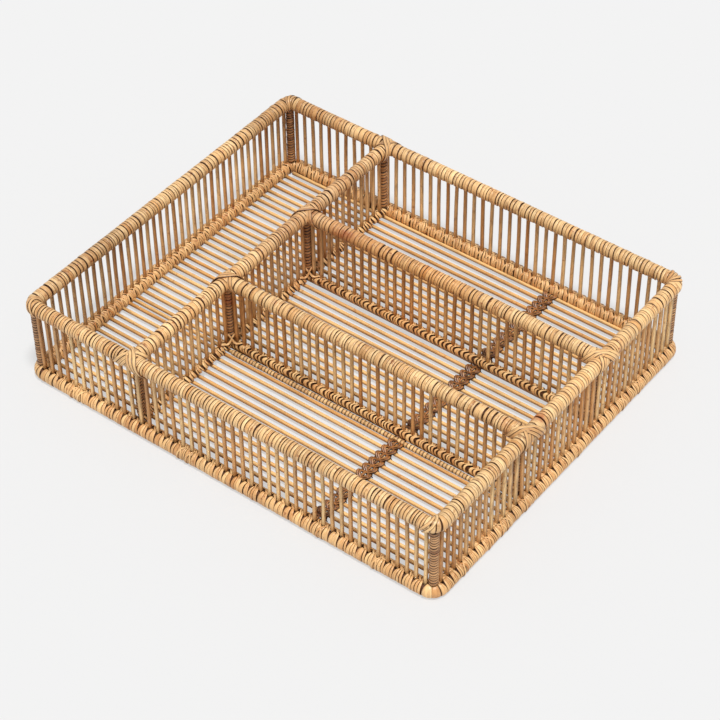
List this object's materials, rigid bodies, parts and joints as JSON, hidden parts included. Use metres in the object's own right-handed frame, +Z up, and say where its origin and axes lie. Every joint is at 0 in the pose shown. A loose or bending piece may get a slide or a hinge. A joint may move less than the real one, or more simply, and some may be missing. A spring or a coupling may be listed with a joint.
{
  "type": "flatware tray",
  "caption": "Open rattan tray divided into compartments, made of wrapped poles, round spindles and floor rods, for sorting flatware in a drawer or on a table.",
  "frame": {"origin": "middle of the underside, where the tray rests", "axes": "+X along the tray towards the wall that the long dividers meet, +Y from the front wall to the back wall, +Z up"},
  "size_m": [0.414, 0.3454, 0.0834],
  "materials": {
    "rattan_pole": "bare rattan, satin",
    "honey_cane": "varnished flat cane, satin",
    "dark_cane": "smoked cane, satin",
    "pale_cane": "bare flat cane, matt",
    "spindle_reed": "round reed, satin",
    "floor_reed": "varnished round reed, satin",
    "peg_wood": "bare wood"
  },
  "bodies": {
    "root": {"back_base_binding": "honey_cane", "back_base_pole": "rattan_pole", "back_base_rail": "rattan_pole", "back_base_rail_binding": "honey_cane", "back_divider_binding": "honey_cane", "back_divider_rail": "rattan_pole", "back_divider_spindles": "spindle_reed", "back_rim_binding": "honey_cane", "back_rim_pole": "rattan_pole", "back_wall_spindles": "spindle_reed", "base_corner_pegs": "peg_wood", "corner_lashings": "honey_cane", "corner_post_bindings": "dark_cane", "cross_base_rail": "rattan_pole", "cross_base_rail_binding": "honey_cane", "cross_divider_binding": "honey_cane", "cross_divider_rail": "rattan_pole", "cross_divider_spindles": "spindle_reed", "cross_end_lashings": "honey_cane", "crossing_lashings": "honey_cane", "divider_pegs": "peg_wood", "floor_rods": "floor_reed", "floor_tie_lower": "dark_cane", "floor_tie_upper": "dark_cane", "front_base_binding": "honey_cane", "front_base_pole": "rattan_pole", "front_base_rail": "rattan_pole", "front_base_rail_binding": "honey_cane", "front_divider_binding": "honey_cane", "front_divider_rail": "rattan_pole", "front_divider_spindles": "spindle_reed", "front_rim_binding": "honey_cane", "front_rim_pole": "rattan_pole", "front_wall_spindles": "spindle_reed", "joint_post_bindings": "dark_cane", "left_base_binding": "honey_cane", "left_base_pole": "rattan_pole", "left_rim_binding": "honey_cane", "left_rim_pole": "rattan_pole", "left_wall_spindles": "spindle_reed", "post_back_left": "rattan_pole", "post_back_right": "rattan_pole", "post_cross_back": "rattan_pole", "post_cross_front": "rattan_pole", "post_crossing_back": "rattan_pole", "post_crossing_front": "rattan_pole", "post_front_left": "rattan_pole", "post_front_right": "rattan_pole", "post_right_back": "rattan_pole", "post_right_front": "rattan_pole", "right_base_binding": "honey_cane", "right_base_pole": "rattan_pole", "right_end_lashings": "honey_cane", "right_rim_binding": "honey_cane", "right_rim_pole": "rattan_pole", "right_wall_spindles": "spindle_reed", "rim_corner_pegs": "peg_wood", "wound_floor_rod": "floor_reed", "wound_rod_binding": "pale_cane"}
  },
  "joints": []
}
